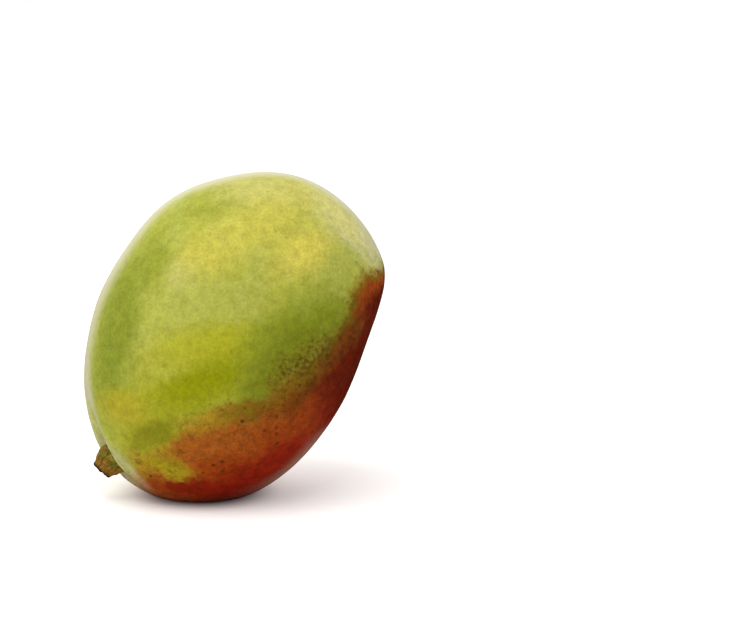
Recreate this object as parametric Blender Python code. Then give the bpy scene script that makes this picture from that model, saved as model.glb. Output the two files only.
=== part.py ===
"""A ripe mango, picked with the stub of its stem still on, resting on a small flat spot.

Metres, +Z up. The fruit's broad face looks along -Y. The fruit leans: its stem end is low on the
-X side, and its beak, the small point near the other end, is high on the +X side. The origin is
under the middle of the fruit's box, on the surface that it rests on.
"""

import math

import bmesh
import bpy
from mathutils import Matrix, Vector

MM = 0.001

# The fruit's outline seen square to its broad face: its radius from the middle every 22.5 degrees,
# starting at +X and turning upwards. 0 is just below the beak, 45 the far end, 135 the back,
# 225 the stem end, 270 the side that it rests on and 315 the belly.
BROAD_RADII_MM = (
    47.8, 56.9, 60.4, 60.3, 56.0, 52.7, 49.0, 48.6,
    51.1, 56.9, 61.9, 63.4, 58.7, 51.8, 46.5, 44.9,
)
THICKNESS = 83.0 * MM
STEM_END_THICKER = 0.06

# How full the fruit is between its outline and its cheeks: 2 is an ellipse, more is fuller.
SECTION_POWER = 2.1

# The two tips, as turns in the broad face. The stem end is turned a little towards -Y.
STEM_ANGLE = math.radians(224.9)
STEM_FORWARD = math.radians(10.5)
BEAK_ANGLE = math.radians(22.0)
BEAK_HEIGHT = 0.8 * MM
BEAK_RADIUS = 7.5 * MM

# The stem's basin is a short valley along the broad face between two low shoulders. It reaches
# further up the fruit's back than down its side, and the near shoulder is the fuller one.
BASIN_DEPTH = 3.6 * MM
BASIN_HALF_WIDTH = 6.5 * MM
BASIN_HALF_LENGTH = 14.0 * MM
BASIN_TOWARDS_BACK = 5.5 * MM
BASIN_TOWARDS_FAR = 1.5 * MM
BASIN_LIP = 3.0 * MM
BASIN_LIP_RADIUS = 16.0 * MM

# The surface that the fruit rests on, below its middle.
REST_DROP = 57.0 * MM
REST_SNAP = 0.2 * MM  # skin closer than this to the rest plane is moved onto it

# The stem stub: a woody peg that flares into a collar where it meets the fruit.
STEM_TIP_FROM_MIDDLE = 66.6 * MM
STEM_CUT_RADIUS = 3.7 * MM
STEM_CUT_ROUNDING = 0.4 * MM
STEM_WAIST_RADIUS = 4.0 * MM
STEM_WAIST_SHARE = 0.8
COLLAR_RADIUS = 5.6 * MM
COLLAR_ROUNDING = 0.4 * MM
COLLAR_TOP = 3.4 * MM
ROOT_RADIUS = 3.2 * MM
ROOT_DEPTH = 3.0 * MM
SOCKET_GAP = 0.3 * MM
STEM_RIDGES = 5
STEM_RIDGE_HEIGHT = 0.07

FRUIT_SIDES = 72
FRUIT_RINGS = 46
RINGS_TOWARDS_STEM = 0.35
STEM_SIDES = 40
WELD_DISTANCE = 0.01 * MM
SHARP_EDGE = math.radians(40.0)

SKIN_COLOUR = (0.50, 0.52, 0.09, 1.0)
STEM_COLOUR = (0.24, 0.15, 0.05, 1.0)


def clear_scene():
    for item in list(bpy.data.objects):
        bpy.data.objects.remove(item, do_unlink=True)


def plain_material(name, colour, roughness):
    material = bpy.data.materials.new(name)
    material.use_nodes = True
    shader = material.node_tree.nodes["Principled BSDF"]
    shader.inputs["Base Color"].default_value = colour
    shader.inputs["Roughness"].default_value = roughness
    shader.inputs["Metallic"].default_value = 0.0
    return material


def outline_waves(radii_mm):
    """The waves that add up to 1 / radius squared round the broad face, as (cosine, sine) pairs.

    An ellipse has only the second wave, and each higher one adds a finer bend to the outline.
    """
    count = len(radii_mm)
    values = [(radius * MM) ** -2 for radius in radii_mm]
    waves = []
    for wave in range(count // 2 + 1):
        share = 1 if wave in (0, count // 2) else 2
        turns = [math.tau * wave * step / count for step in range(count)]
        cosine = sum(value * math.cos(turn) for value, turn in zip(values, turns))
        sine = sum(value * math.sin(turn) for value, turn in zip(values, turns))
        waves.append((share * cosine / count, share * sine / count))
    return waves


def direction_of(angle, forward=0.0):
    """The unit vector at a turn in the broad face, tipped forward from it towards -Y."""
    flat = math.cos(forward)
    return Vector((flat * math.cos(angle), -math.sin(forward), flat * math.sin(angle)))


BROAD_WAVES = outline_waves(BROAD_RADII_MM)
STEM_DIRECTION = direction_of(STEM_ANGLE, STEM_FORWARD)
BEAK_DIRECTION = direction_of(BEAK_ANGLE)
BASIN_LENGTHWISE = direction_of(STEM_ANGLE - math.pi / 2)
BASIN_CROSSWISE = BASIN_LENGTHWISE.cross(STEM_DIRECTION)


def smooth_radius(direction):
    """The fruit's radius from its middle, before the basin and the beak.

    Each wave of the outline fades away from the broad plane as the power of its own number,
    which keeps the cheeks smooth.
    """
    spread = math.hypot(direction.x, direction.z)
    angle = math.atan2(direction.z, direction.x)
    broad_square = BROAD_WAVES[0][0] * spread**2
    for wave, (cosine, sine) in enumerate(BROAD_WAVES[1:], start=1):
        bend = cosine * math.cos(wave * angle) + sine * math.sin(wave * angle)
        broad_square += bend * spread**wave
    half_thickness = THICKNESS / 2 * (1 + STEM_END_THICKER * direction.dot(STEM_DIRECTION))
    cheek_square = (direction.y / half_thickness) ** 2
    power = SECTION_POWER / 2
    return (max(broad_square, 0.0) ** power + cheek_square**power) ** (-0.5 / power)


def bump(distance, radius):
    return math.exp(-((distance / radius) ** 2))


def basin_shift(point):
    """How far the stem's basin and its shoulders move a point of the skin out along the stem."""
    lengthwise = point.dot(BASIN_LENGTHWISE)
    crosswise = point.dot(BASIN_CROSSWISE)
    lip = BASIN_LIP * bump(math.hypot(lengthwise, crosswise), BASIN_LIP_RADIUS)
    valley = bump(lengthwise - BASIN_TOWARDS_BACK, BASIN_HALF_LENGTH)
    valley *= bump(crosswise - BASIN_TOWARDS_FAR, BASIN_HALF_WIDTH)
    return lip - (BASIN_DEPTH + BASIN_LIP) * valley


def skin_point(direction):
    """The point of the skin in a direction from the fruit's middle."""
    point = direction * smooth_radius(direction)
    if direction.dot(STEM_DIRECTION) > 0:
        point += STEM_DIRECTION * basin_shift(point)
    if direction.dot(BEAK_DIRECTION) > 0:
        off_axis = (point - BEAK_DIRECTION * point.dot(BEAK_DIRECTION)).length
        point += BEAK_DIRECTION * (BEAK_HEIGHT * bump(off_axis, BEAK_RADIUS))
    return point


def turned_towards(direction):
    """The rotation that takes +Z to a direction."""
    return direction.to_track_quat("Z", "Y").to_matrix().to_4x4()


def object_from(mesh_maker, name, material, collection):
    mesh = bpy.data.meshes.new(name)
    mesh_maker.to_mesh(mesh)
    mesh_maker.free()
    mesh.materials.append(material)
    made = bpy.data.objects.new(name, mesh)
    collection.objects.link(made)
    return made


def fruit_body(material, collection):
    """A sphere with its pole at the stem, pressed into the fruit's form and cut flat below."""
    body = bmesh.new()
    bmesh.ops.create_uvsphere(body, u_segments=FRUIT_SIDES, v_segments=FRUIT_RINGS, radius=1.0)
    turn = turned_towards(STEM_DIRECTION).to_3x3()
    for vertex in body.verts:
        polar = vertex.co.angle(Vector((0, 0, 1)))
        around = math.atan2(vertex.co.y, vertex.co.x)
        polar -= RINGS_TOWARDS_STEM * math.sin(polar)
        ring = Vector((math.cos(around), math.sin(around), 0)) * math.sin(polar)
        vertex.co = skin_point(turn @ (ring + Vector((0, 0, math.cos(polar)))))
        if abs(vertex.co.z + REST_DROP) < REST_SNAP:
            vertex.co.z = -REST_DROP
    every = body.verts[:] + body.edges[:] + body.faces[:]
    cut = bmesh.ops.bisect_plane(
        body, geom=every, plane_co=(0, 0, -REST_DROP), plane_no=(0, 0, -1), clear_outer=True
    )
    rim = [item for item in cut["geom_cut"] if isinstance(item, bmesh.types.BMEdge)]
    bmesh.ops.contextual_create(body, geom=rim)
    bmesh.ops.recalc_face_normals(body, faces=body.faces[:])
    return object_from(body, "fruit", material, collection)


def basin_floor():
    """How far the bottom of the stem's basin lies from the fruit's middle."""
    return skin_point(STEM_DIRECTION).length


def stem_profile(clearance):
    """The stub's half outline as (radius, height) pairs, from its root to its cut end.

    Heights are from the basin's floor. A clearance makes the outline larger all round.
    """
    tip = STEM_TIP_FROM_MIDDLE - basin_floor()
    waist = tip * STEM_WAIST_SHARE
    outline = [
        (ROOT_RADIUS, -ROOT_DEPTH - clearance),
        (ROOT_RADIUS, -COLLAR_ROUNDING),
        (COLLAR_RADIUS - COLLAR_ROUNDING, 0.0),
        (COLLAR_RADIUS, 2 * COLLAR_ROUNDING),
        (COLLAR_RADIUS, COLLAR_TOP - 2 * COLLAR_ROUNDING),
        (COLLAR_RADIUS - COLLAR_ROUNDING, COLLAR_TOP),
        ((COLLAR_RADIUS + STEM_WAIST_RADIUS) / 2, (COLLAR_TOP + waist) / 2),
        (STEM_WAIST_RADIUS, waist),
        (STEM_CUT_RADIUS, tip - STEM_CUT_ROUNDING),
        (STEM_CUT_RADIUS - STEM_CUT_ROUNDING, tip),
    ]
    return [(radius + clearance, height) for radius, height in outline]


def stem_form(clearance=0.0):
    """The profile spun round the stem's axis, with faint ridges above the root, in its place."""
    form = bmesh.new()
    chain = [form.verts.new((radius, 0, height)) for radius, height in stem_profile(clearance)]
    edges = [form.edges.new(pair) for pair in zip(chain, chain[1:])]
    bmesh.ops.spin(
        form, geom=chain + edges, cent=(0, 0, 0), axis=(0, 0, 1), dvec=(0, 0, 0),
        angle=math.tau, steps=STEM_SIDES, use_merge=True,
    )
    bmesh.ops.remove_doubles(form, verts=form.verts[:], dist=WELD_DISTANCE)
    bmesh.ops.holes_fill(form, edges=[edge for edge in form.edges if edge.is_boundary])
    for vertex in form.verts:
        if vertex.co.z > -COLLAR_ROUNDING / 2:
            swell = 1 + STEM_RIDGE_HEIGHT * math.cos(STEM_RIDGES * math.atan2(vertex.co.y, vertex.co.x))
            vertex.co = (vertex.co.x * swell, vertex.co.y * swell, vertex.co.z)
    bmesh.ops.recalc_face_normals(form, faces=form.faces[:])
    place = Matrix.Translation(STEM_DIRECTION * basin_floor()) @ turned_towards(STEM_DIRECTION)
    bmesh.ops.transform(form, matrix=place, verts=form.verts[:])
    return form


def cut_socket(fruit, cutters):
    """The seat that the fruit's flesh forms round the stem's root and collar, a gap larger."""
    tool = object_from(stem_form(SOCKET_GAP), "socket_cutter", fruit.data.materials[0], cutters)
    tool.hide_render = True
    tool.display_type = "WIRE"
    socket = fruit.modifiers.new("stem socket", "BOOLEAN")
    socket.operation = "DIFFERENCE"
    socket.solver = "EXACT"
    socket.object = tool
    return tool


def stand_on_origin(fruit, others):
    """Moves the pieces so that the fruit rests at z = 0, with its box centred on the origin."""
    points = [vertex.co for vertex in fruit.data.vertices]
    middle_x = (min(point.x for point in points) + max(point.x for point in points)) / 2
    middle_y = (min(point.y for point in points) + max(point.y for point in points)) / 2
    move = Matrix.Translation((-middle_x, -middle_y, REST_DROP))
    for item in [fruit, *others]:
        item.data.transform(move)


def new_collection(name):
    made = bpy.data.collections.new(name)
    bpy.context.scene.collection.children.link(made)
    return made


def main():
    clear_scene()
    pieces = new_collection("mango")
    cutters = new_collection("cutters")
    skin = plain_material("waxy skin", SKIN_COLOUR, 0.38)
    wood = plain_material("dry stem", STEM_COLOUR, 0.75)
    fruit = fruit_body(skin, pieces)
    stem = object_from(stem_form(), "stem", wood, pieces)
    tool = cut_socket(fruit, cutters)
    stand_on_origin(fruit, [stem, tool])
    for item in (fruit, stem):
        item.data.shade_smooth()
        item.data.set_sharp_from_angle(angle=SHARP_EDGE)


main()
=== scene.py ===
"""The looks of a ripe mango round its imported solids: a fine skin, a woody stem stub, and a plain studio."""

import math
from collections import namedtuple

import bmesh
import bpy
from mathutils import Matrix, Vector, noise


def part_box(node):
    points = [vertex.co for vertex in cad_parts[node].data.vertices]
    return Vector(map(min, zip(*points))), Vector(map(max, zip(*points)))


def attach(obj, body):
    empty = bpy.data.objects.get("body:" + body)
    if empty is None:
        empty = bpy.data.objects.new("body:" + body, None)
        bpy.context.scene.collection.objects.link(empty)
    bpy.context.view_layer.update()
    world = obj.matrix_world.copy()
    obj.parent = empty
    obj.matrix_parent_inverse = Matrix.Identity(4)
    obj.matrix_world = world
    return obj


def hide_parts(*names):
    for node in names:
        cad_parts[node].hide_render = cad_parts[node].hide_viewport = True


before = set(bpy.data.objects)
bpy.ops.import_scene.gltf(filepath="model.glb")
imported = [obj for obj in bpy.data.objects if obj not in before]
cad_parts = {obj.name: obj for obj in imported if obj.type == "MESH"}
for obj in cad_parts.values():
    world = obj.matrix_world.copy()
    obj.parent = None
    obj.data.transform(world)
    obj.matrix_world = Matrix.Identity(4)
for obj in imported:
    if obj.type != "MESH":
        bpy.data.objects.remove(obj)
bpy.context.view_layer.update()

MM = 0.001

# The fruit's form. The radii are from its middle, square to its broad face, every 22.5 degrees,
# starting at +X and turning upwards.
BROAD_RADII_MM = (
    47.8, 56.9, 60.4, 60.3, 56.0, 52.7, 49.0, 48.6,
    51.1, 56.9, 61.9, 63.4, 58.7, 51.8, 46.5, 44.9,
)
THICKNESS = 83.0 * MM
STEM_END_THICKER = 0.06
SECTION_POWER = 2.1
STEM_ANGLE = math.radians(224.9)
STEM_FORWARD = math.radians(10.5)
BEAK_ANGLE = math.radians(22.0)
BEAK_HEIGHT = 0.8 * MM
BEAK_RADIUS = 7.5 * MM
BASIN_DEPTH = 3.6 * MM
BASIN_HALF_WIDTH = 6.5 * MM
BASIN_HALF_LENGTH = 14.0 * MM
BASIN_TOWARDS_BACK = 5.5 * MM
BASIN_TOWARDS_FAR = 1.5 * MM
BASIN_LIP = 3.0 * MM
BASIN_LIP_RADIUS = 16.0 * MM

# The flat spot that the fruit rests on, and the height in edges from which its edge has no effect.
REST_DROP = 57.0 * MM
REST_EDGE = 0.25 * MM
REST_EDGE_ENDS = 30

# The fine relief of the skin. A sway is how far noise bends creases round their axis, in radians,
# how fast it changes, and the slice of noise that it takes.
SKIN_SIDES = 352
SKIN_RINGS = 260
RINGS_TOWARDS_STEM = 0.35
WAVE_HEIGHT = 0.22 * MM
WAVE_LENGTH = 19.0 * MM
RIPPLE_HEIGHT = 0.05 * MM
RIPPLE_LENGTH = 6.0 * MM
BASIN_CREASES = 9
BASIN_CREASE_HEIGHT = 0.30 * MM
BASIN_CREASE_RING = BASIN_HALF_WIDTH * 0.6
BASIN_CREASE_SWAY = (4.0, 1.7, 4.0)
BEAK_FURROWS = 11
BEAK_FURROW_HEIGHT = 0.10 * MM
BEAK_FURROW_REACH = 24.0 * MM
BEAK_FURROW_START = BEAK_RADIUS * 0.3
BEAK_FURROW_SWAY = (3.0, 2.1, 9.0)

# The stem stub, as distances from the fruit's middle and radii about its axis.
STEM_TIP_FROM_MIDDLE = 66.6 * MM
STEM_CUT_RADIUS = 3.7 * MM
STEM_CUT_ROUNDING = 0.4 * MM
STEM_CUT_DISH_RADIUS = STEM_CUT_RADIUS * 0.6
STEM_CUT_DISH_DEPTH = STEM_CUT_ROUNDING * 0.5
STEM_WAIST_RADIUS = 4.0 * MM
STEM_WAIST_SHARE = 0.8
COLLAR_RADIUS = 5.6 * MM
COLLAR_ROUNDING = 0.4 * MM
COLLAR_TOP = 3.4 * MM
ROOT_RADIUS = 3.2 * MM
ROOT_END_RADIUS = ROOT_RADIUS * 0.5
ROOT_DEPTH = 3.0 * MM
ROOT_TAPER_DEPTH = ROOT_DEPTH * 0.8
STEM_SIDES = 120
STEM_STEPS_PER_POINT = 6
MERGE_DISTANCE = 0.002 * MM

# The bark's relief: heights as shares of the radius, and the sizes of its features. The cut's edge
# is broken up to a height, down to a reach along the stub, by a slice of noise of its own.
ON_AXIS = 0.001 * MM
STEM_RIDGES = 5
STEM_RIDGE_HEIGHT = 0.07
BARK_SWELL = 0.05
BARK_SWELL_PACE = 2.6
BARK_SWELL_LENGTH = 5 * MM
BARK_KNOB = 0.02
BARK_KNOB_LENGTH = 1.1 * MM
BROKEN_HEIGHT = 0.5 * MM
BROKEN_REACH = 1.2 * MM
BROKEN_LENGTH = 1.3 * MM
BROKEN_SLICE = 3 * MM

# The camera, as the photograph was taken, and the place of the fruit's middle in its frame.
FRAME_SIZE_PX = (735, 635)
FRUIT_MIDDLE_PX = (233.8, 334.5)
CAMERA_ELEVATION = math.radians(9.5)
CAMERA_DISTANCE = 0.72
CAMERA_LENS = 100.0
CAMERA_CLIP = (0.05, 50.0)
SENSOR_WIDTH = 36.0

# The studio: its walls are brightest up, left and behind, and dim on the camera's side.
BRIGHT_WALL = Vector((-0.22, 0.50, 0.80)).normalized()
WALL_SPREAD = (-0.5, 1.0)
BRIGHT_WALL_LIGHT = 1.1
DIM_WALL_LIGHT = 0.10
SOFTBOX_WATTS = 5.0
SOFTBOX_SIZE = (0.9, 0.7)
SOFTBOX_PLACE = Vector((-0.20, -0.35, 0.9))
SOFTBOX_AIM = Vector((0.0, 0.0, 0.05))
FLOOR_SIZE = 6.0
FLOOR_DROP = 0.05 * MM
FLOOR_ROUGHNESS = 0.8
PAPER = (0.9, 0.9, 0.9, 1.0)
BLACK = (0.0, 0.0, 0.0, 1.0)
WHITE = (1.0, 1.0, 1.0, 1.0)

# The light that the floor adds for the camera alone. It starts and is whole this far from the place
# of contact, so the shadow under the fruit stays dark.
SHADOW_LIFT = (0.30, 0.285, 0.27, 1.0)
CONTACT = (-12 * MM, 0.0, 0.0)
CONTACT_INNER = 13 * MM
CONTACT_REACH = 30 * MM


def outline_waves(radii_mm):
    """The waves that add up to 1 / radius squared round the broad face, as (cosine, sine) pairs."""
    count = len(radii_mm)
    values = [(radius * MM) ** -2 for radius in radii_mm]
    waves = []
    for wave in range(count // 2 + 1):
        share = 1 if wave in (0, count // 2) else 2
        turns = [math.tau * wave * step / count for step in range(count)]
        cosine = sum(value * math.cos(turn) for value, turn in zip(values, turns))
        sine = sum(value * math.sin(turn) for value, turn in zip(values, turns))
        waves.append((share * cosine / count, share * sine / count))
    return waves


def direction_of(angle, forward=0.0):
    """The unit vector at a turn in the broad face, tipped forward from it towards -Y."""
    flat = math.cos(forward)
    return Vector((flat * math.cos(angle), -math.sin(forward), flat * math.sin(angle)))


def turned_towards(direction):
    """The rotation that takes +Z to a direction."""
    return direction.to_track_quat("Z", "Y").to_matrix().to_4x4()


def looking_from(place, ahead):
    """The pose of a camera or a light that looks ahead from a place."""
    return Matrix.Translation(place) @ ahead.to_track_quat("-Z", "Y").to_matrix().to_4x4()


BROAD_WAVES = outline_waves(BROAD_RADII_MM)
STEM_DIRECTION = direction_of(STEM_ANGLE, STEM_FORWARD)
BEAK_DIRECTION = direction_of(BEAK_ANGLE)
BASIN_LENGTHWISE = direction_of(STEM_ANGLE - math.pi / 2)
BASIN_CROSSWISE = BASIN_LENGTHWISE.cross(STEM_DIRECTION)
STEM_TURN = turned_towards(STEM_DIRECTION)
BEAK_TURN = turned_towards(BEAK_DIRECTION)


def smooth_radius(direction):
    """The fruit's radius from its middle, before the basin, the beak and the fine relief."""
    spread = math.hypot(direction.x, direction.z)
    angle = math.atan2(direction.z, direction.x)
    broad_square = BROAD_WAVES[0][0] * spread**2
    for wave, (cosine, sine) in enumerate(BROAD_WAVES[1:], start=1):
        bend = cosine * math.cos(wave * angle) + sine * math.sin(wave * angle)
        broad_square += bend * spread**wave
    half_thickness = THICKNESS / 2 * (1 + STEM_END_THICKER * direction.dot(STEM_DIRECTION))
    cheek_square = (direction.y / half_thickness) ** 2
    power = SECTION_POWER / 2
    return (max(broad_square, 0.0) ** power + cheek_square**power) ** (-0.5 / power)


def bump(distance, radius):
    return math.exp(-((distance / radius) ** 2))


def off_axis_and_turn(point, turn):
    """A point's distance from an axis and its turn about it. The axis is where turn takes +Z."""
    local = turn.to_3x3().transposed() @ point
    return math.hypot(local.x, local.y), math.atan2(local.y, local.x)


def basin_shift(point):
    """How far the stem's basin and its lip move a point of the form out along the stem's axis."""
    lengthwise = point.dot(BASIN_LENGTHWISE)
    crosswise = point.dot(BASIN_CROSSWISE)
    lip = BASIN_LIP * bump(math.hypot(lengthwise, crosswise), BASIN_LIP_RADIUS)
    valley = bump(lengthwise - BASIN_TOWARDS_BACK, BASIN_HALF_LENGTH)
    valley *= bump(crosswise - BASIN_TOWARDS_FAR, BASIN_HALF_WIDTH)
    return lip - (BASIN_DEPTH + BASIN_LIP) * valley


def form_point(direction):
    """The point of the smooth form in a direction from the fruit's middle, as in the solids."""
    point = direction * smooth_radius(direction)
    if direction.dot(STEM_DIRECTION) > 0:
        point += STEM_DIRECTION * basin_shift(point)
    if direction.dot(BEAK_DIRECTION) > 0:
        off_axis, _ = off_axis_and_turn(point, BEAK_TURN)
        point += BEAK_DIRECTION * (BEAK_HEIGHT * bump(off_axis, BEAK_RADIUS))
    return point


def swayed(around, reach, pace, level):
    """How far noise bends a crease at a turn round its axis."""
    return reach * noise.noise(Vector((math.cos(around), math.sin(around), level)) * pace)


def relief(point, direction):
    """The height of the fine relief on the smooth form: waves, ripples, creases and furrows."""
    height = WAVE_HEIGHT * noise.noise(point / WAVE_LENGTH)
    height += RIPPLE_HEIGHT * noise.noise(point / RIPPLE_LENGTH)
    if direction.dot(STEM_DIRECTION) > 0:
        off_axis, around = off_axis_and_turn(point, STEM_TURN)
        ring = bump(off_axis - BASIN_HALF_WIDTH, BASIN_CREASE_RING)
        crease = math.cos(BASIN_CREASES * around / 2 + swayed(around, *BASIN_CREASE_SWAY)) ** 3
        height += BASIN_CREASE_HEIGHT * ring * crease
    if direction.dot(BEAK_DIRECTION) > 0:
        off_axis, around = off_axis_and_turn(point, BEAK_TURN)
        fade = bump(off_axis, BEAK_FURROW_REACH) * (1 - bump(off_axis, BEAK_FURROW_START))
        furrow = math.cos(BEAK_FURROWS * around + swayed(around, *BEAK_FURROW_SWAY))
        height += BEAK_FURROW_HEIGHT * fade * furrow
    return height


def flattened(point):
    """Presses a point up to the surface that the fruit rests on, with a soft edge."""
    above = (point.z + REST_DROP) / REST_EDGE
    if above > REST_EDGE_ENDS:
        return point
    return Vector((point.x, point.y, REST_EDGE * math.log1p(math.exp(above)) - REST_DROP))


def skin_point(direction):
    point = form_point(direction)
    return flattened(point + direction * relief(point, direction))


def middle_of_fruit():
    """Where the form's middle is in the frame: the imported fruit's box gives it."""
    low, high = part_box("fruit")
    steps = 180
    tips = [form_point(direction_of(math.tau * step / steps)) for step in range(steps)]
    across = (min(point.x for point in tips) + max(point.x for point in tips)) / 2
    return Vector(((low.x + high.x) / 2 - across, (low.y + high.y) / 2, low.z + REST_DROP))


MIDDLE = middle_of_fruit()


def finished_piece(maker, name, material, node):
    """The mesh, faces outward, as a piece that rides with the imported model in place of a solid."""
    bmesh.ops.recalc_face_normals(maker, faces=maker.faces[:])
    if maker.calc_volume(signed=True) < 0:
        bmesh.ops.reverse_faces(maker, faces=maker.faces[:])
    mesh = bpy.data.meshes.new(name)
    maker.to_mesh(mesh)
    maker.free()
    mesh.transform(Matrix.Translation(MIDDLE))
    mesh.materials.append(material)
    mesh.shade_smooth()
    piece = bpy.data.objects.new(name, mesh)
    bpy.context.scene.collection.objects.link(piece)
    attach(piece, "root")
    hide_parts(node)


def fruit_skin(material):
    """A sphere with its pole at the stem, pressed into the fruit's form with its fine relief."""
    skin = bmesh.new()
    bmesh.ops.create_uvsphere(skin, u_segments=SKIN_SIDES, v_segments=SKIN_RINGS, radius=1.0)
    turn = STEM_TURN.to_3x3()
    for vertex in skin.verts:
        polar = math.atan2(math.hypot(vertex.co.x, vertex.co.y), vertex.co.z)
        around = math.atan2(vertex.co.y, vertex.co.x)
        polar -= RINGS_TOWARDS_STEM * math.sin(polar)
        ring = Vector((math.cos(around), math.sin(around), 0)) * math.sin(polar)
        vertex.co = skin_point(turn @ (ring + Vector((0, 0, math.cos(polar)))))
    finished_piece(skin, "mango_skin", material, "fruit")


def basin_floor():
    """How far the bottom of the stem's basin lies from the fruit's middle."""
    return form_point(STEM_DIRECTION).length


def stem_length():
    """How far the stub's cut stands above the bottom of the basin."""
    return STEM_TIP_FROM_MIDDLE - basin_floor()


def smooth_through(points, steps):
    """A smooth line through points, with that many steps between two of them."""
    ends = [points[0], *points, points[-1]]
    line = []
    for before, start, end, after in zip(ends, ends[1:], ends[2:], ends[3:]):
        for step in range(steps):
            t = step / steps
            line.append(
                0.5 * (
                    2 * start
                    + (end - before) * t
                    + (2 * before - 5 * start + 4 * end - after) * t**2
                    + (3 * start - before - 3 * end + after) * t**3
                )
            )
    return [*line, points[-1]]


def stem_profile(tip):
    """The stub's half outline, from its root to the middle of its cut, as (radius, 0, height)."""
    waist = tip * STEM_WAIST_SHARE
    outline = [
        (ROOT_END_RADIUS, -ROOT_DEPTH),
        (ROOT_RADIUS, -ROOT_TAPER_DEPTH),
        (ROOT_RADIUS, -COLLAR_ROUNDING),
        (COLLAR_RADIUS - COLLAR_ROUNDING, 0.0),
        (COLLAR_RADIUS, 2 * COLLAR_ROUNDING),
        (COLLAR_RADIUS, COLLAR_TOP - 2 * COLLAR_ROUNDING),
        (COLLAR_RADIUS - COLLAR_ROUNDING, COLLAR_TOP),
        ((COLLAR_RADIUS + STEM_WAIST_RADIUS) / 2, (COLLAR_TOP + waist) / 2),
        (STEM_WAIST_RADIUS, waist),
        (STEM_CUT_RADIUS, tip - STEM_CUT_ROUNDING),
        (STEM_CUT_RADIUS - STEM_CUT_ROUNDING, tip),
        (STEM_CUT_DISH_RADIUS, tip - STEM_CUT_DISH_DEPTH),
        (0.0, tip - STEM_CUT_DISH_DEPTH),
    ]
    points = [Vector((radius, 0, height)) for radius, height in outline]
    return smooth_through(points, STEM_STEPS_PER_POINT)


def roughened_bark(point, tip):
    """A point of the spun stub with the bark's ridges, knobs and broken edge."""
    radius = math.hypot(point.x, point.y)
    around = math.atan2(point.y, point.x)
    if radius < ON_AXIS or point.z < -COLLAR_ROUNDING:
        return point
    spun = BARK_SWELL_PACE * Vector((math.cos(around), math.sin(around), 0))
    lengthwise = spun + Vector((0, 0, point.z / BARK_SWELL_LENGTH))
    swell = 1 + STEM_RIDGE_HEIGHT * math.cos(STEM_RIDGES * around)
    swell += BARK_SWELL * noise.noise(lengthwise) + BARK_KNOB * noise.noise(point / BARK_KNOB_LENGTH)
    cut = max(0.0, 1 - (tip - point.z) / BROKEN_REACH)
    torn_at = Vector((point.x, point.y, BROKEN_SLICE)) / BROKEN_LENGTH
    broken = BROKEN_HEIGHT * cut * noise.noise(torn_at)
    return Vector((point.x * swell, point.y * swell, point.z + broken))


def stem_stub(material):
    """The stub's outline spun round its axis, roughened, and set in the basin."""
    stub = bmesh.new()
    tip = stem_length()
    chain = [stub.verts.new(point) for point in stem_profile(tip)]
    edges = [stub.edges.new(pair) for pair in zip(chain, chain[1:])]
    bmesh.ops.spin(
        stub, geom=chain + edges, cent=(0, 0, 0), axis=(0, 0, 1), dvec=(0, 0, 0),
        angle=math.tau, steps=STEM_SIDES, use_merge=True,
    )
    bmesh.ops.remove_doubles(stub, verts=stub.verts[:], dist=MERGE_DISTANCE)
    bmesh.ops.holes_fill(stub, edges=[edge for edge in stub.edges if edge.is_boundary])
    for vertex in stub.verts:
        vertex.co = roughened_bark(vertex.co, tip)
    place = Matrix.Translation(STEM_DIRECTION * basin_floor()) @ STEM_TURN
    bmesh.ops.transform(stub, matrix=place, verts=stub.verts[:])
    finished_piece(stub, "stem_stub", material, "stem")


def linear(red, green, blue):
    """A screen colour, as three numbers up to 255, in the linear values that shaders take."""
    def one(value):
        share = value / 255
        return share / 12.92 if share <= 0.04045 else ((share + 0.055) / 1.055) ** 2.4
    return (one(red), one(green), one(blue), 1.0)


def fill(tree, node, inputs):
    """Sets a node's inputs to values, or links them to sockets."""
    for key, value in inputs.items():
        if isinstance(value, bpy.types.NodeSocket):
            tree.links.new(value, node.inputs[key])
        else:
            node.inputs[key].default_value = value
    return node


def add(tree, kind, inputs=None, **settings):
    """A new node in a tree, with its settings and inputs."""
    node = tree.nodes.new("ShaderNode" + kind)
    for name, value in settings.items():
        setattr(node, name, value)
    return fill(tree, node, inputs or {})


def math_of(tree, operation, first, second):
    return add(tree, "Math", {0: first, 1: second}, operation=operation).outputs[0]


def product(tree, first, *others):
    for other in others:
        first = math_of(tree, "MULTIPLY", first, other)
    return first


def vector_of(tree, operation, first, second):
    return add(tree, "VectorMath", {0: first, 1: second}, operation=operation).outputs[0]


def value_of(tree, operation, *vectors):
    """A vector operation whose result is a number, such as a length."""
    node = add(tree, "VectorMath", dict(enumerate(vectors)), operation=operation)
    return node.outputs["Value"]


def scaled(tree, vector, scale):
    return add(tree, "VectorMath", {0: vector, "Scale": scale}, operation="SCALE").outputs[0]


def ramp(tree, value, low, high, bottom=0.0, top=1.0):
    """A value run smoothly from bottom to top between two limits."""
    limits = {"Value": value, "From Min": low, "From Max": high, "To Min": bottom, "To Max": top}
    return add(tree, "MapRange", limits, interpolation_type="SMOOTHSTEP").outputs[0]


def ramp_straight(tree, value, low, high):
    """A value run evenly from 0 to 1 between two limits."""
    return add(tree, "MapRange", {"Value": value, "From Min": low, "From Max": high}).outputs[0]


def mixed(tree, factor, under, over):
    """One colour laid over another."""
    node = add(tree, "Mix", data_type="RGBA", clamp_factor=True)
    return fill(tree, node, {0: factor, 6: under, 7: over}).outputs[2]


def mixed_value(tree, factor, under, over):
    return add(tree, "Mix", {0: factor, 2: under, 3: over}, data_type="FLOAT").outputs[0]


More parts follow.
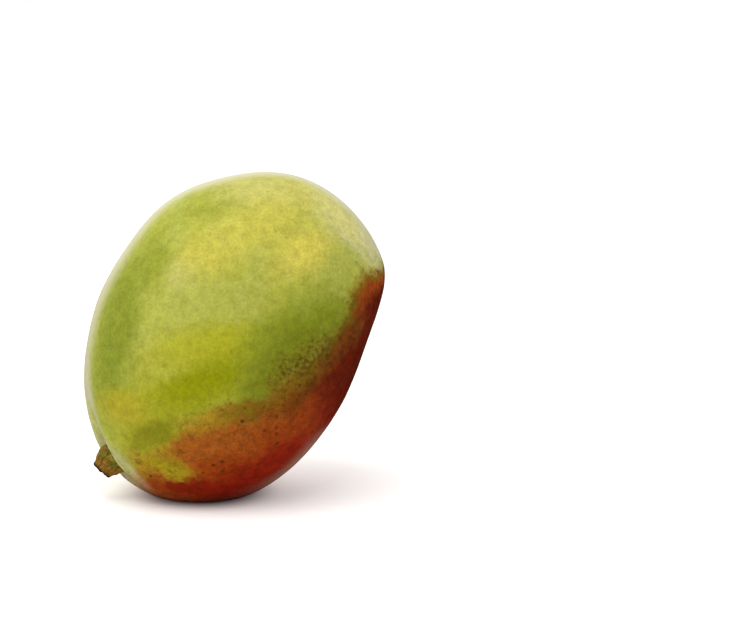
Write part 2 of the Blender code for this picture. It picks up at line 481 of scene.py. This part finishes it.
def grain(tree, place, size, detail=2.0, roughness=0.5):
    """Noise with features of a size in the place's own units: its value from 0 to 1."""
    settings = {"Vector": place, "Scale": 1 / size, "Detail": detail, "Roughness": roughness}
    return add(tree, "TexNoise", settings).outputs[0]


def speckle(tree, place, pattern):
    """Noise run from bottom to top between two limits, as a Pattern says."""
    noise_value = grain(tree, place, pattern.size, pattern.detail, pattern.roughness)
    return ramp(tree, noise_value, pattern.low, pattern.high, pattern.bottom, pattern.top)


def noise_shift(tree, place, size, reach):
    """A shift of a place by noise, with features of a size."""
    node = add(tree, "TexNoise", {"Vector": place, "Scale": 1 / size, "Detail": SHIFT_DETAIL})
    shift = vector_of(tree, "SUBTRACT", node.outputs["Color"], (0.5, 0.5, 0.5))
    return scaled(tree, shift, reach)


def new_group(name, inputs, outputs):
    """An empty node group with named sockets, and its input and output nodes."""
    group = bpy.data.node_groups.new(name, "ShaderNodeTree")
    for socket, kind in inputs:
        group.interface.new_socket(socket, in_out="INPUT", socket_type="NodeSocket" + kind)
    for socket, kind in outputs:
        group.interface.new_socket(socket, in_out="OUTPUT", socket_type="NodeSocket" + kind)
    entry = group.nodes.new("NodeGroupInput")
    result = group.nodes.new("NodeGroupOutput")
    return group, entry, result


def use(tree, group, inputs):
    """A node group at work in a tree, with its inputs."""
    return fill(tree, add(tree, "Group", node_tree=group), inputs)


def dots_group():
    """Round dots strewn through space: a mask and each dot's chance, by their size and spacing."""
    inputs = [("Place", "Vector"), ("Spacing", "Float"), ("Radius", "Float"), ("Edge", "Float")]
    outputs = [("Mask", "Float"), ("Chance", "Float")]
    group, entry, result = new_group("strewn dots", inputs, outputs)
    scale = math_of(group, "DIVIDE", 1.0, entry.outputs["Spacing"])
    cells = add(group, "TexVoronoi", {"Vector": entry.outputs["Place"], "Scale": scale})
    distance = math_of(group, "MULTIPLY", cells.outputs["Distance"], entry.outputs["Spacing"])
    inner = math_of(group, "SUBTRACT", entry.outputs["Radius"], entry.outputs["Edge"])
    outer = math_of(group, "ADD", entry.outputs["Radius"], entry.outputs["Edge"])
    mask = ramp(group, distance, inner, outer, bottom=1.0, top=0.0)
    chance = add(group, "SeparateColor", {0: cells.outputs["Color"]}).outputs[0]
    fill(group, result, {"Mask": mask, "Chance": chance})
    return group


def patch_group():
    """A soft oval patch round a place: 1 at its middle, falling to 0 at its rim."""
    inputs = [
        ("Place", "Vector"), ("Centre", "Vector"), ("Turn", "Vector"), ("Reach", "Vector"),
        ("Softness", "Float"),
    ]
    group, entry, result = new_group("soft patch", inputs, [("Mask", "Float")])
    frame_of_patch = {
        "Vector": entry.outputs["Place"], "Location": entry.outputs["Centre"],
        "Rotation": entry.outputs["Turn"], "Scale": entry.outputs["Reach"],
    }
    local = add(group, "Mapping", frame_of_patch, vector_type="TEXTURE").outputs[0]
    length = value_of(group, "LENGTH", local)
    inner = math_of(group, "SUBTRACT", 1.0, entry.outputs["Softness"])
    outer = math_of(group, "ADD", 1.0, entry.outputs["Softness"])
    fill(group, result, {"Mask": ramp(group, length, inner, outer, bottom=1.0, top=0.0)})
    return group


# The skin's colours, as they are in even white light.
STRAW = linear(212, 205, 128)
CREAM = linear(197, 190, 106)
BUTTER = linear(203, 193, 80)
HONEY = linear(218, 203, 87)
PEAR = linear(180, 183, 82)
LIME = linear(176, 177, 68)
LEMON = linear(180, 177, 38)
YELLOW_GREEN = linear(168, 167, 28)
CITRON = linear(150, 154, 6)
LEAF = linear(138, 148, 45)
FERN = linear(139, 150, 36)
MOSS = linear(129, 137, 28)
GRASS = linear(137, 134, 26)
OCHRE = linear(180, 167, 44)
OLIVE = linear(118, 98, 20)
ORANGE = linear(174, 136, 34)
MUSTARD = linear(172, 152, 28)
TERRACOTTA = linear(169, 91, 29)
CLAY = linear(143, 102, 22)
UMBER = linear(120, 64, 13)
RUSSET = linear(159, 67, 15)
BRICK = linear(146, 34, 12)
MAROON = linear(107, 27, 4)
SPECK = linear(98, 60, 14)
# The grey of the ring round the stem.
STEM_RING_GREY = linear(178, 172, 136)
FLECK_PALE = linear(222, 220, 140)
FLECK_DARK = linear(84, 44, 12)
# Painted reflection: the pale glare of the bright walls, laid into the colour where the skin turns from the
# eye.
RIM_REFLECTION = linear(214, 208, 178)

# The stem's colours.
BARK_GREEN = linear(128, 120, 34)
BARK_STRAW = linear(176, 158, 58)
BARK_RUST = linear(156, 98, 28)
BARK_TAN = linear(160, 112, 38)
BARK_LINES = linear(70, 46, 12)
BARK_CUT = linear(58, 32, 12)

# How deep the wide patches of colour and those at the rim reach into the fruit, and the ways that
# the blush is measured along: to the belly, and from the stem end to the far end. All are in mm.
PATCH_DEPTH = 24
RIM_DEPTH = 9
BELLY_WAY = (0.668, 0.0, -0.744)
LENGTH_WAY = (0.744, 0.0, 0.668)
COURSE_REACH = 70
COURSE_TOP = 30

# The search for the skin under a place in the picture.
SEARCH_REACH = 60 * MM
SEARCH_HALVINGS = 30

Patch = namedtuple("Patch", "colour across up half_long half_wide turn softness strength")
NEAR = -1
FAR = 1

# Soft patches of colour, in mm across and up from the fruit's middle as the camera sees them.
# The far cheek's are as if seen through the fruit.
NEAR_PATCHES = (
    Patch(CREAM, 14, 50, 20, 6, -6, 0.7, 0.8),
    Patch(LEAF, -14, 45, 14, 5, 28, 0.8, 0.3),
    Patch(LEAF, -5, 44, 8, 2.5, 12, 0.8, 0.3),
    Patch(BUTTER, 4, 36, 25, 8, 27, 0.7, 0.85),
    Patch(STRAW, -19, 21, 5, 5, 10, 0.8, 0.5),
    Patch(BUTTER, -12, 26.5, 6.5, 4.5, 40, 0.7, 0.8),
    Patch(HONEY, 25, 29, 10, 6.5, 35, 0.7, 0.9),
    Patch(STRAW, 39, 39, 15, 5.5, -52, 0.7, 0.85),
    Patch(LEAF, -30, 24, 12, 7, 58, 0.7, 0.7),
    Patch(LEAF, -42, 0, 26, 8.5, 81, 0.5, 0.97),
    Patch(PEAR, -17, 9, 14, 11, 20, 0.7, 0.8),
    Patch(LEMON, -11, -5, 18, 7, 10, 0.8, 0.85),
    Patch(LEMON, 0, -2, 9, 6, 10, 0.8, 0.8),
    Patch(YELLOW_GREEN, -20, -23, 26, 9, 14, 0.7, 0.85),
    Patch(YELLOW_GREEN, -29, -37, 14, 7, 10, 0.7, 0.85),
    Patch(CITRON, -6, -12, 9, 4.5, 20, 0.8, 0.7),
    Patch(CITRON, -12, -18, 14, 5, 20, 0.7, 0.9),
    Patch(OCHRE, -39, -26, 8, 5.5, -10, 0.7, 0.9),
    Patch(GRASS, -28.5, -35, 8, 4.5, 25, 0.7, 0.85),
    Patch(ORANGE, -32, -45, 6, 3.5, -20, 0.7, 0.7),
    Patch(PEAR, 36, 24, 6, 4, 40, 0.8, 0.6),
    Patch(FERN, 25, 10, 10, 5, 30, 0.8, 0.5),
    Patch(FERN, 33, 5, 10, 7, 45, 0.7, 0.9),
    Patch(FERN, 12, -0.5, 11, 5, 42, 0.8, 0.6),
    Patch(MOSS, 20.5, -5.5, 19, 8.5, 38, 0.7, 0.95),
    Patch(MOSS, 9, -18, 8, 5, 35, 0.7, 0.85),
    Patch(STRAW, 45, 33, 9, 3.5, -60, 0.7, 0.7),
    Patch(PEAR, 44, 27, 8, 1.2, -48, 0.6, 0.5),
)
FAR_PATCHES = (
    Patch(BUTTER, 8, 36, 22, 9, 20, 0.7, 0.8),
    Patch(HONEY, 28, 22, 12, 7, 50, 0.7, 0.8),
    Patch(STRAW, 38, 38, 14, 6, -52, 0.7, 0.7),
    Patch(LEAF, -24, 28, 15, 8, 52, 0.7, 0.7),
    Patch(LEAF, -40, 0, 19, 7, 82, 0.6, 0.85),
    Patch(PEAR, -10, 12, 15, 11, 30, 0.8, 0.7),
    Patch(LEMON, -14, -8, 16, 9, 20, 0.8, 0.7),
    Patch(CITRON, -4, -14, 12, 7, 40, 0.8, 0.7),
    Patch(MOSS, 20, 2, 15, 7, 35, 0.7, 0.85),
    Patch(FERN, 32, 10, 9, 6, 45, 0.7, 0.8),
    Patch(OCHRE, -34, -24, 9, 6, 20, 0.7, 0.8),
    Patch(MOSS, -24, -32, 7, 4, 20, 0.7, 0.7),
)
NEAR_BLUSH_PATCHES = (
    Patch(ORANGE, -9, -29.5, 9, 3, 14, 0.7, 0.75),
    Patch(TERRACOTTA, -6, -38, 14, 5.5, 8, 0.6, 0.7),
    Patch(TERRACOTTA, -17, -38.5, 6, 4, 25, 0.5, 0.75),
    Patch(OLIVE, 3.5, -27.5, 7, 3.5, 12, 0.7, 0.6),
    Patch(BRICK, -13, -54, 15, 3.2, -4, 0.5, 0.9),
    Patch(RUSSET, -29, -53.5, 6, 2.5, -25, 0.7, 0.6),
    Patch(MUSTARD, -23, -47.4, 8, 2.9, -18, 0.6, 0.95),
    Patch(CLAY, 18, -18, 5, 3, 15, 0.8, 0.5),
    Patch(OLIVE, 23.5, -10.5, 11, 4.5, 35, 0.8, 0.5),
)
# Painted reflections: pale glare at the outline by the stem's far lip, along the lower left edge, and in
# streaks at the beak, with the green between the streaks.
RIM_REFLECTION_PATCHES = (
    Patch(RIM_REFLECTION, -50, -32, 14, 2.2, -74, 0.8, 0.25),
    Patch(RIM_REFLECTION, -37.5, -47, 11, 1.6, -50, 0.8, 0.35),
    Patch(RIM_REFLECTION, -38.3, -49.6, 9, 2.2, -42, 0.8, 0.5),
    Patch(PEAR, 44.5, 29.5, 7, 1.4, -50, 0.8, 0.4),
    Patch(RIM_REFLECTION, 47, 31, 7, 0.9, -60, 0.9, 0.4),
    Patch(RIM_REFLECTION, 43, 31, 8, 0.9, -46, 0.9, 0.3),
)
SPECKLED_FIELD = Patch(SPECK, 23, -10.5, 12, 6, 35, 0.8, 0.85)

# The blush starts where the skin leans this far to the belly, given along the fruit from its
# stem end to its far end, both in mm.
BLUSH_COURSE = (
    (-70, 10), (-56, 10), (-46, 9.5), (-37, 9.5), (-24, 10), (-14, 12), (-7, 15), (1, 20),
    (10, 21), (25, 21.5), (37, 19.5), (45, 14), (50, 13), (55, 16), (70, 19),
)

# The blush's colours, from its edge to its middle: the depth in mm at which each starts and is
# whole, its colour at the stem end, and what it turns into along the fruit.
BlushBand = namedtuple("BlushBand", "start whole colour turns")
BLUSH_BANDS = (
    BlushBand(-3, 2, ORANGE, ((-22, -2, CLAY), (6, 24, OLIVE), (36, 46, CLAY))),
    BlushBand(2, 8, TERRACOTTA, ((-12, 6, UMBER), (36, 46, RUSSET))),
    BlushBand(8, 16, RUSSET, ((-2, 24, MAROON),)),
    BlushBand(16, 27, BRICK, ((-4, 22, MAROON),)),
)

# Noise patterns: their size in mm, detail and roughness, the noise at which they start and are
# whole, and their values there.
Pattern = namedtuple("Pattern", "size detail roughness low high bottom top", defaults=(0.0, 1.0))
GROUND = Pattern(13, 4, 0.5, 0.38, 0.62)
STEM_RING_BREAKUP = Pattern(4.5, 4, 0.65, 0.35, 0.65)
FLECKS = Pattern(2.3, 3, 0.65, 0.53, 0.68)
FLECK_SWARMS = Pattern(9.0, 2, 0.5, 0.35, 0.6, 0.3)
SPECKS = Pattern(1.5, 1.5, 0.5, 0.42, 0.7)
MOTTLE = Pattern(0.85, 2, 0.6, 0.3, 0.7, -0.09, 0.09)
CLOUD = Pattern(3.2, 3, 0.6, 0.3, 0.7, -0.10, 0.10)
# The noise that breaks up the painted rim reflection near the stem.
REFLECTION_BREAKUP = Pattern(2.6, 3, 0.6, 0.4, 0.6, 0.35, 1.0)
SHEEN = Pattern(7.0, 3, 0.5, 0.3, 0.7, 0.40, 0.52)
BARK_RUSTY = Pattern(2.6, 3, 0.5, 0.48, 0.62)
BARK_LINED = Pattern(0.6, 3, 0.6, 0.38, 0.6, 0.65, 0.0)

# Noise that shifts the patches' edges, as sizes and reaches in mm.
SHIFT_DETAIL = 3.0
DRIFT = (14, 7.0)
JITTER = (2.6, 5.0)

# Ramps, as where they start, where they are whole and their values there. First those across the
# blush, by depth in mm.
IN_BLUSH = (-3, 5)
FLECKS_BEGIN = (-9, -1)
FLECKS_END = (13, 4)
DOTS_ON_BLUSH = (2, -4, 0.12, 1.0)
SHADE_ON_BLUSH = (-6, 10, 1.0, 1.8)
# The painted rim reflection: strong on bare skin, fading out into the blush.
REFLECTION_ON_BARE_SKIN = (2, -6, 0.0, 0.8)

# Those along the fruit, in mm: how far the blush deepens, and the painted rim reflection on it.
BLUSH_DEEPENS = (-2, 22, 0.0, 0.8)
REFLECTION_ON_BLUSH = (8, -6, 0.0, 0.28)
REFLECTION_THINS = (-20, -38, 1.0, 0.3)
REFLECTION_BROKEN_NEAR_STEM = (-50, -56)

# The rim that takes the painted reflection, by how far the skin is turned away from the eye.
RIM_FACING = 0.5
RIM = (0.56, 0.87)

# How the blush's edge wanders on the far cheek, in mm: it starts and is whole this far back.
WANDER_LENGTH = 24
WANDER_REACH = 13
WANDER_NOISE = (0.3, 0.7)
WANDER_STARTS = (-4, 14)

# The grey ring round the stem: off the stem's axis, outwards along it, and backwards, in mm.
STEM_RING_OFF_AXIS = (18, 7)
STEM_RING_OUTWARDS = (20, 40)
STEM_RING_BACKWARDS = (-19, -9)
STEM_RING_STRENGTH = 0.6

# Flecks, pale dots and dark pores. The chance of each dot gives its strength.
FLECK_STRENGTH = 0.48
PALE_DOTS = {"Spacing": 1.5, "Radius": 0.32, "Edge": 0.24}
PALE_DOT_CHANCE = (0.4, 1.0, 0.0, 0.14)
PORES = {"Spacing": 3.7, "Radius": 0.72, "Edge": 0.35}
PORES_MOVED = (31.0, 7.0, 12.0)
PORE_CHANCE = (0.25, 0.85, 0.0, 0.8)
PORES_ON_BLUSH = (0, 1, 0.18, 1.0)

# The finish: pits in the skin and fibres in the bark, as size, detail and roughness.
PITS = (0.9, 2, 0.6)
PIT_DEPTH = 0.05 * MM
SKIN_SPECULAR = 0.03
FIBRES = (0.45, 3, 0.6)
FIBRE_STRETCH = (1.0, 1.0, 0.22)
FIBRE_DEPTH = 0.25 * MM
BARK_ROUGHNESS = 0.7
BARK_SPECULAR = 0.1

# The bark's colours: blotches, rust, and how they change along the stub, in mm.
BLOTCHES = (2.2, 3)
BLOTCH_EDGE = (0.35, 0.65)
BLOTCH_SHIFT = 2.0
RUST_MOVED = (9.0, 4.0, 2.0)
RUST_STRENGTH = 0.55
TAN_FROM = 3.5
CUT_STARTS = 0.3
CUT_WHOLE = 0.7


def eye():
    """The camera's place, from the fruit's middle, and its directions right, up and ahead."""
    ahead = Vector((0, math.cos(CAMERA_ELEVATION), -math.sin(CAMERA_ELEVATION)))
    up = Vector((0, math.sin(CAMERA_ELEVATION), math.cos(CAMERA_ELEVATION)))
    px = CAMERA_DISTANCE * SENSOR_WIDTH / CAMERA_LENS / FRAME_SIZE_PX[0]
    across = (FRAME_SIZE_PX[0] / 2 - FRUIT_MIDDLE_PX[0]) * px
    down = (FRAME_SIZE_PX[1] / 2 - FRUIT_MIDDLE_PX[1]) * px
    right = Vector((1, 0, 0))
    return right * across - up * down - ahead * CAMERA_DISTANCE, right, up, ahead


def skin_place(across, up, side):
    """The point of the smooth form, in mm from its middle, that is seen at a place in the picture."""
    camera, right_way, up_way, _ = eye()
    target = (right_way * across + up_way * up) * MM
    ray = (target - camera) / CAMERA_DISTANCE
    inner, outer = 0.0, SEARCH_REACH
    for _ in range(SEARCH_HALVINGS):
        depth = (inner + outer) / 2
        trial = target + ray * depth * side
        if form_point(trial.normalized()).length > trial.length:
            inner = depth
        else:
            outer = depth
    return (target + ray * depth * side) / MM


def patch_strength(tree, patch, place, item, side, depth):
    """How strongly a soft patch that reaches that deep into the fruit, in mm, covers a place."""
    tilt = Matrix.Rotation(-CAMERA_ELEVATION, 3, "X")
    turn = tilt @ Matrix.Rotation(-math.radians(item.turn), 3, "Y")
    mask = use(tree, patch, {
        "Place": place,
        "Centre": skin_place(item.across, item.up, side),
        "Turn": turn.to_euler(),
        "Reach": (item.half_long, depth, item.half_wide),
        "Softness": item.softness,
    }).outputs[0]
    return product(tree, mask, item.strength)


def painted(tree, patch, place, colour, items, side, depth):
    """Soft patches laid over a colour."""
    for item in items:
        strength = patch_strength(tree, patch, place, item, side, depth)
        colour = mixed(tree, strength, colour, item.colour)
    return colour


def backwards_of(tree, place):
    return add(tree, "SeparateXYZ", {0: place}).outputs["Y"]


def course_of_blush(tree, along):
    """How far to the belly the blush starts at a place along the fruit, in mm."""
    share = ramp_straight(tree, along, -COURSE_REACH, COURSE_REACH)
    course = add(tree, "FloatCurve", {"Value": share})
    curve = course.mapping.curves[0]
    spots = [(0.5 + way / (2 * COURSE_REACH), start / COURSE_TOP) for way, start in BLUSH_COURSE]
    curve.points[0].location = spots[0]
    curve.points[-1].location = spots[-1]
    for spot in spots[1:-1]:
        curve.points.new(*spot)
    course.mapping.update()
    return product(tree, course.outputs[0], COURSE_TOP)


def blush_depth(tree, place, along):
    """How far, in mm, a place lies inside the blush. It deepens faster towards the far end."""
    wander = ramp_straight(tree, grain(tree, place, WANDER_LENGTH, 1), *WANDER_NOISE)
    wander = product(tree, math_of(tree, "SUBTRACT", wander, 0.5), WANDER_REACH)
    wander = product(tree, wander, ramp(tree, backwards_of(tree, place), *WANDER_STARTS))
    lean = math_of(tree, "ADD", value_of(tree, "DOT_PRODUCT", place, BELLY_WAY), wander)
    depth = math_of(tree, "SUBTRACT", lean, course_of_blush(tree, along))
    inside = math_of(tree, "MAXIMUM", depth, 0.0)
    return math_of(tree, "ADD", depth, product(tree, inside, ramp(tree, along, *BLUSH_DEEPENS)))


def blushed(tree, colour, depth, along):
    """The blush laid over a colour, band by band."""
    for band in BLUSH_BANDS:
        tint = band.colour
        for start, whole, turned in band.turns:
            tint = mixed(tree, ramp(tree, along, start, whole), tint, turned)
        colour = mixed(tree, ramp(tree, depth, band.start, band.whole), colour, tint)
    return colour


def grey_ring_round_stem(tree, place):
    """How strongly the skin turns pale grey round the stem, most of all on its far side."""
    off_axis = value_of(tree, "LENGTH", vector_of(tree, "CROSS_PRODUCT", place, STEM_DIRECTION))
    outwards = value_of(tree, "DOT_PRODUCT", place, STEM_DIRECTION)
    return product(
        tree,
        ramp(tree, off_axis, *STEM_RING_OFF_AXIS),
        ramp(tree, outwards, *STEM_RING_OUTWARDS),
        ramp(tree, backwards_of(tree, place), *STEM_RING_BACKWARDS),
        speckle(tree, place, STEM_RING_BREAKUP),
    )


def strewn(tree, dots, place, layout, chances):
    """How strongly strewn dots mark a place."""
    found = use(tree, dots, {"Place": place, **layout}).outputs
    return product(tree, ramp(tree, found["Chance"], *chances), found["Mask"])


def freckled(tree, colour, place, depth, speckled):
    """Dark flecks along the blush's edge, a field of brown specks, pale dots and dark pores."""
    near_edge = product(tree, ramp(tree, depth, *FLECKS_BEGIN), ramp(tree, depth, *FLECKS_END))
    flecks = product(tree, speckle(tree, place, FLECKS), speckle(tree, place, FLECK_SWARMS), near_edge)
    colour = mixed(tree, product(tree, flecks, FLECK_STRENGTH), colour, FLECK_DARK)
    specks = product(tree, speckle(tree, place, SPECKS), speckled)
    colour = mixed(tree, specks, colour, SPECKLED_FIELD.colour)
    dots = dots_group()
    pale = strewn(tree, dots, place, PALE_DOTS, PALE_DOT_CHANCE)
    pale = product(tree, pale, ramp(tree, depth, *DOTS_ON_BLUSH))
    colour = mixed(tree, pale, colour, FLECK_PALE)
    moved = vector_of(tree, "ADD", place, PORES_MOVED)
    pores = strewn(tree, dots, moved, PORES, PORE_CHANCE)
    on_blush = ramp(tree, ramp(tree, depth, *IN_BLUSH), *PORES_ON_BLUSH)
    return mixed(tree, product(tree, pores, on_blush), colour, FLECK_DARK)


def shaded(tree, colour, place, depth):
    """A colour with fine mottle and soft clouds, stronger in the blush."""
    shade = math_of(tree, "ADD", speckle(tree, place, MOTTLE), speckle(tree, place, CLOUD))
    shade = product(tree, shade, ramp(tree, depth, *SHADE_ON_BLUSH))
    return scaled(tree, colour, math_of(tree, "ADD", shade, 1.0))


def painted_rim_reflection(tree, place, depth, along):
    """Painted reflection: the pale glare of the bright walls where the skin turns from the eye, strong on
    bare skin, thin on the blush, broken up near the stem.
    """
    rim = ramp(tree, add(tree, "LayerWeight", {"Blend": RIM_FACING}).outputs["Facing"], *RIM)
    bare = ramp(tree, depth, *REFLECTION_ON_BARE_SKIN)
    lower = product(
        tree,
        ramp(tree, depth, *IN_BLUSH),
        ramp(tree, along, *REFLECTION_ON_BLUSH),
        ramp(tree, along, *REFLECTION_THINS),
    )
    by_stem = ramp(tree, along, *REFLECTION_BROKEN_NEAR_STEM)
    broken_up = mixed_value(tree, by_stem, 1.0, speckle(tree, place, REFLECTION_BREAKUP))
    return product(tree, rim, math_of(tree, "ADD", bare, lower), broken_up)


def bumpy(tree, height, depth):
    """A normal pressed by a height from 0 to 1 that stands for a depth."""
    return add(tree, "Bump", {"Height": height, "Distance": depth, "Strength": 1.0}).outputs[0]


def new_material(name):
    """A material with nodes, its tree and its shader."""
    material = bpy.data.materials.new(name)
    material.use_nodes = True
    return material, material.node_tree, material.node_tree.nodes["Principled BSDF"]


def skin_material():
    """The skin's colours, laid in coats: ground, patches, blush, painted reflections at the outline, a grey
    ring round the stem, freckles, mottle, and a painted reflection at the rim.
    """
    material, tree, shader = new_material("mango skin")
    patch = patch_group()
    coordinates = add(tree, "TexCoord").outputs["Object"]
    centred = vector_of(tree, "SUBTRACT", coordinates, tuple(MIDDLE))
    place = scaled(tree, centred, 1 / MM)
    warped = vector_of(tree, "ADD", place, noise_shift(tree, place, *DRIFT))
    warped = vector_of(tree, "ADD", warped, noise_shift(tree, place, *JITTER))
    along = value_of(tree, "DOT_PRODUCT", warped, LENGTH_WAY)
    depth = blush_depth(tree, warped, along)

    colour = mixed(tree, speckle(tree, place, GROUND), LIME, PEAR)
    colour = painted(tree, patch, warped, colour, NEAR_PATCHES, NEAR, PATCH_DEPTH)
    colour = painted(tree, patch, warped, colour, FAR_PATCHES, FAR, PATCH_DEPTH)
    colour = blushed(tree, colour, depth, along)
    colour = painted(tree, patch, warped, colour, NEAR_BLUSH_PATCHES, NEAR, PATCH_DEPTH)
    # Painted reflections at the outline.
    colour = painted(tree, patch, place, colour, RIM_REFLECTION_PATCHES, NEAR, RIM_DEPTH)
    # A pale grey ring round the stem, broken up by noise, most of all on its far side.
    colour = mixed(tree, product(tree, grey_ring_round_stem(tree, warped), STEM_RING_STRENGTH), colour, STEM_RING_GREY)
    speckled = patch_strength(tree, patch, warped, SPECKLED_FIELD, NEAR, PATCH_DEPTH)
    colour = freckled(tree, colour, place, depth, speckled)
    colour = shaded(tree, colour, place, depth)
    # Painted reflection: a pale glare laid over the colour where the skin turns from the eye.
    colour = mixed(tree, painted_rim_reflection(tree, place, depth, along), colour, RIM_REFLECTION)

    fill(tree, shader, {
        "Base Color": colour,
        "Roughness": speckle(tree, place, SHEEN),
        "Normal": bumpy(tree, grain(tree, place, *PITS), PIT_DEPTH),
        "Specular IOR Level": SKIN_SPECULAR,
    })
    return material


def stem_material():
    """Olive bark with rust, dark fibres along it, and a darker cut."""
    material, tree, shader = new_material("mango stem")
    local = add(tree, "Mapping", {
        "Vector": add(tree, "TexCoord").outputs["Object"],
        "Location": MIDDLE + STEM_DIRECTION * basin_floor(),
        "Rotation": STEM_TURN.to_euler(),
        "Scale": (MM, MM, MM),
    }, vector_type="TEXTURE").outputs[0]
    tip = stem_length() / MM
    fibres = vector_of(tree, "MULTIPLY", local, FIBRE_STRETCH)
    blotch = grain(tree, local, *BLOTCHES)
    height = add(tree, "SeparateXYZ", {0: local}).outputs["Z"]
    along = math_of(tree, "ADD", height, product(tree, blotch, BLOTCH_SHIFT))
    rust = speckle(tree, vector_of(tree, "ADD", local, RUST_MOVED), BARK_RUSTY)

    colour = mixed(tree, ramp(tree, blotch, *BLOTCH_EDGE), BARK_GREEN, BARK_STRAW)
    colour = mixed(tree, product(tree, rust, RUST_STRENGTH), colour, BARK_RUST)
    colour = mixed(tree, ramp(tree, along, TAN_FROM, tip), colour, BARK_TAN)
    colour = mixed(tree, speckle(tree, fibres, BARK_LINED), colour, BARK_LINES)
    colour = mixed(tree, ramp(tree, along, tip - CUT_STARTS, tip + CUT_WHOLE), colour, BARK_CUT)
    fill(tree, shader, {
        "Base Color": colour,
        "Roughness": BARK_ROUGHNESS,
        "Specular IOR Level": BARK_SPECULAR,
        "Normal": bumpy(tree, grain(tree, fibres, *FIBRES), FIBRE_DEPTH),
    })
    return material


def floor_material():
    """White paper, lifted for the camera alone, as it burns out in the photo, and not mirrored."""
    material, tree, shader = new_material("white floor")
    rays = add(tree, "LightPath").outputs
    away = value_of(tree, "DISTANCE", add(tree, "TexCoord").outputs["Object"], CONTACT)
    lift = ramp(tree, away, CONTACT_INNER, CONTACT_REACH)
    fill(tree, shader, {
        "Base Color": mixed(tree, rays["Is Glossy Ray"], PAPER, BLACK),
        "Roughness": FLOOR_ROUGHNESS,
        "Specular IOR Level": 0.0,
        "Emission Color": SHADOW_LIFT,
        "Emission Strength": product(tree, rays["Is Camera Ray"], lift),
    })
    return material


def studio_floor():
    maker = bmesh.new()
    bmesh.ops.create_grid(maker, x_segments=1, y_segments=1, size=FLOOR_SIZE)
    mesh = bpy.data.meshes.new("floor")
    maker.to_mesh(mesh)
    maker.free()
    mesh.transform(Matrix.Translation((0, 0, -FLOOR_DROP)))
    mesh.materials.append(floor_material())
    floor = bpy.data.objects.new("floor", mesh)
    bpy.context.scene.collection.objects.link(floor)


def studio_world():
    """White to the camera. All else sees bright walls up, left and behind, and dim ones in front."""
    world = bpy.data.worlds.new("studio")
    world.use_nodes = True
    bpy.context.scene.world = world
    tree = world.node_tree
    towards = value_of(tree, "DOT_PRODUCT", add(tree, "TexCoord").outputs["Generated"], BRIGHT_WALL)
    glow = ramp(tree, towards, *WALL_SPREAD, bottom=DIM_WALL_LIGHT, top=BRIGHT_WALL_LIGHT)
    seen = add(tree, "LightPath").outputs["Is Camera Ray"]
    strength = mixed_value(tree, seen, glow, 1.0)
    fill(tree, tree.nodes["Background"], {"Color": WHITE, "Strength": strength})


def softbox():
    """A wide soft light high above the fruit, a little to the left and to the camera's side."""
    data = bpy.data.lights.new("softbox", "AREA")
    data.shape = "RECTANGLE"
    data.size, data.size_y = SOFTBOX_SIZE
    data.energy = SOFTBOX_WATTS
    light = bpy.data.objects.new("softbox", data)
    light.matrix_world = looking_from(SOFTBOX_PLACE, SOFTBOX_AIM - SOFTBOX_PLACE)
    bpy.context.scene.collection.objects.link(light)


def photo_camera():
    """A long lens at the photograph's height, with the fruit's middle where the photograph has it."""
    data = bpy.data.cameras.new("camera")
    data.lens = CAMERA_LENS
    data.sensor_width = SENSOR_WIDTH
    data.clip_start, data.clip_end = CAMERA_CLIP
    place, _, _, ahead = eye()
    camera = bpy.data.objects.new("camera", data)
    camera.matrix_world = looking_from(MIDDLE + place, ahead)
    bpy.context.scene.collection.objects.link(camera)
    bpy.context.scene.camera = camera


def main():
    photo_camera()
    studio_world()
    studio_floor()
    softbox()
    fruit_skin(skin_material())
    stem_stub(stem_material())
    bpy.context.scene.view_settings.view_transform = "Standard"


main()
